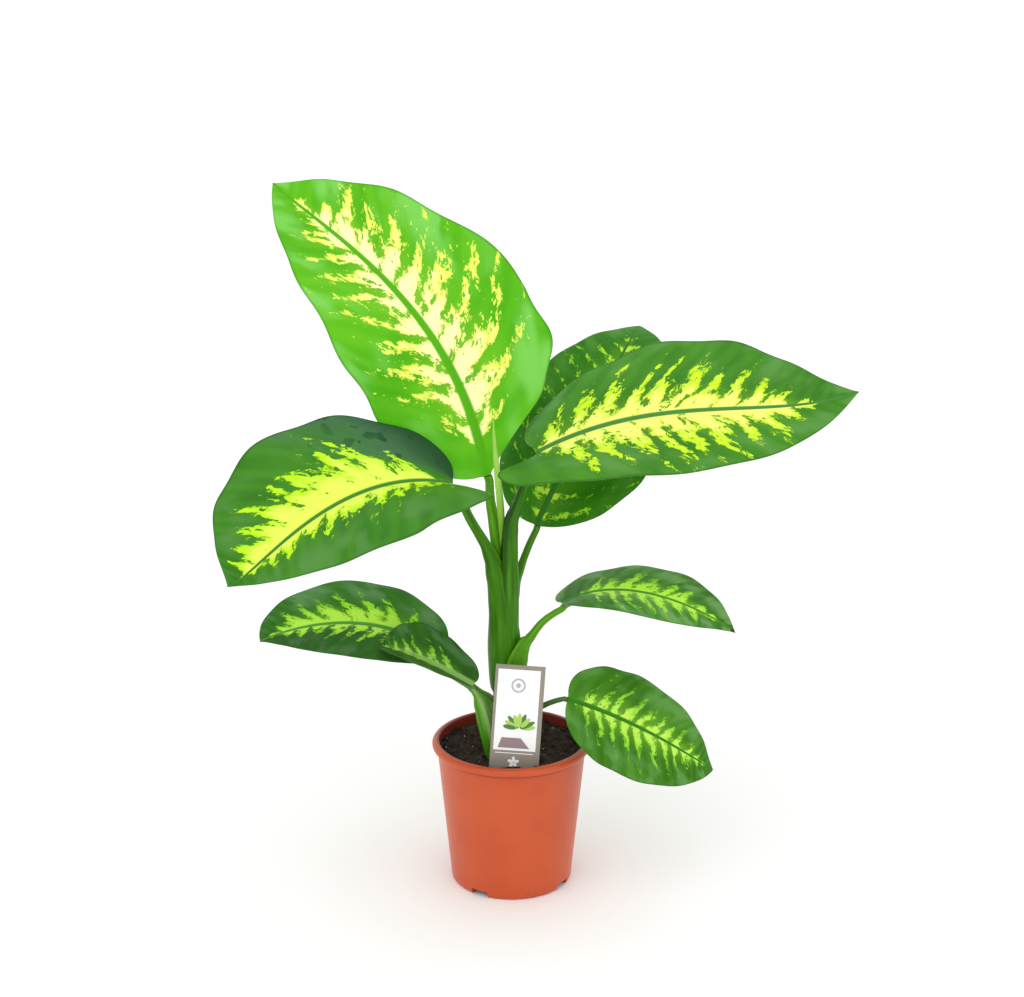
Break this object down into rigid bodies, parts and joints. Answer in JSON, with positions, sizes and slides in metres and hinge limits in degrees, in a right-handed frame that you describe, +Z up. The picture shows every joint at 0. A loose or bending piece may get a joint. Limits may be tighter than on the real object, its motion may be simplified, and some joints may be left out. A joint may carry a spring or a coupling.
{
  "type": "potted dieffenbachia",
  "caption": "Leafy foliage plant with broad variegated leaves on one upright shoot, in a soil-filled plastic nursery pot with a care label.",
  "frame": {"origin": "middle of the pot's underside, on the surface that the pot stands on", "axes": "+Z up along the pot's axis; the care label and the viewer of the picture are on the -Y side, and +X is to that viewer's right"},
  "size_m": [0.6336, 0.4291, 0.7346],
  "materials": {
    "pot_plastic": "terracotta orange polypropylene, satin",
    "soil": "dark brown peat, crumbly, with a few pale perlite grains",
    "label_card": "printed plastic card, satin, taupe with a white panel",
    "cane": "fleshy green stem with pale leaf scars",
    "stalk": "fleshy green leaf stalks and sheaths, satin",
    "new_leaf": "pale yellow-green rolled leaf, satin",
    "young_blade": "light green with cream-yellow streaks, semi-gloss",
    "blade": "dark green with yellow-green streaks, semi-gloss"
  },
  "bodies": {
    "root": {"pot": "pot_plastic", "soil": "soil", "label": "label_card", "cane": "cane", "new_leaf": "new_leaf", "stalk_top": "stalk", "stalk_right": "stalk", "stalk_left": "stalk", "stalk_back": "stalk", "stalk_mid_right": "stalk", "stalk_low_left": "stalk", "stalk_low_right": "stalk", "stalk_front_left": "stalk", "blade_top": "young_blade", "blade_right": "blade", "blade_left": "blade", "blade_back": "blade", "blade_mid_right": "blade", "blade_low_left": "blade", "blade_low_right": "blade", "blade_front_left": "blade"}
  },
  "joints": []
}
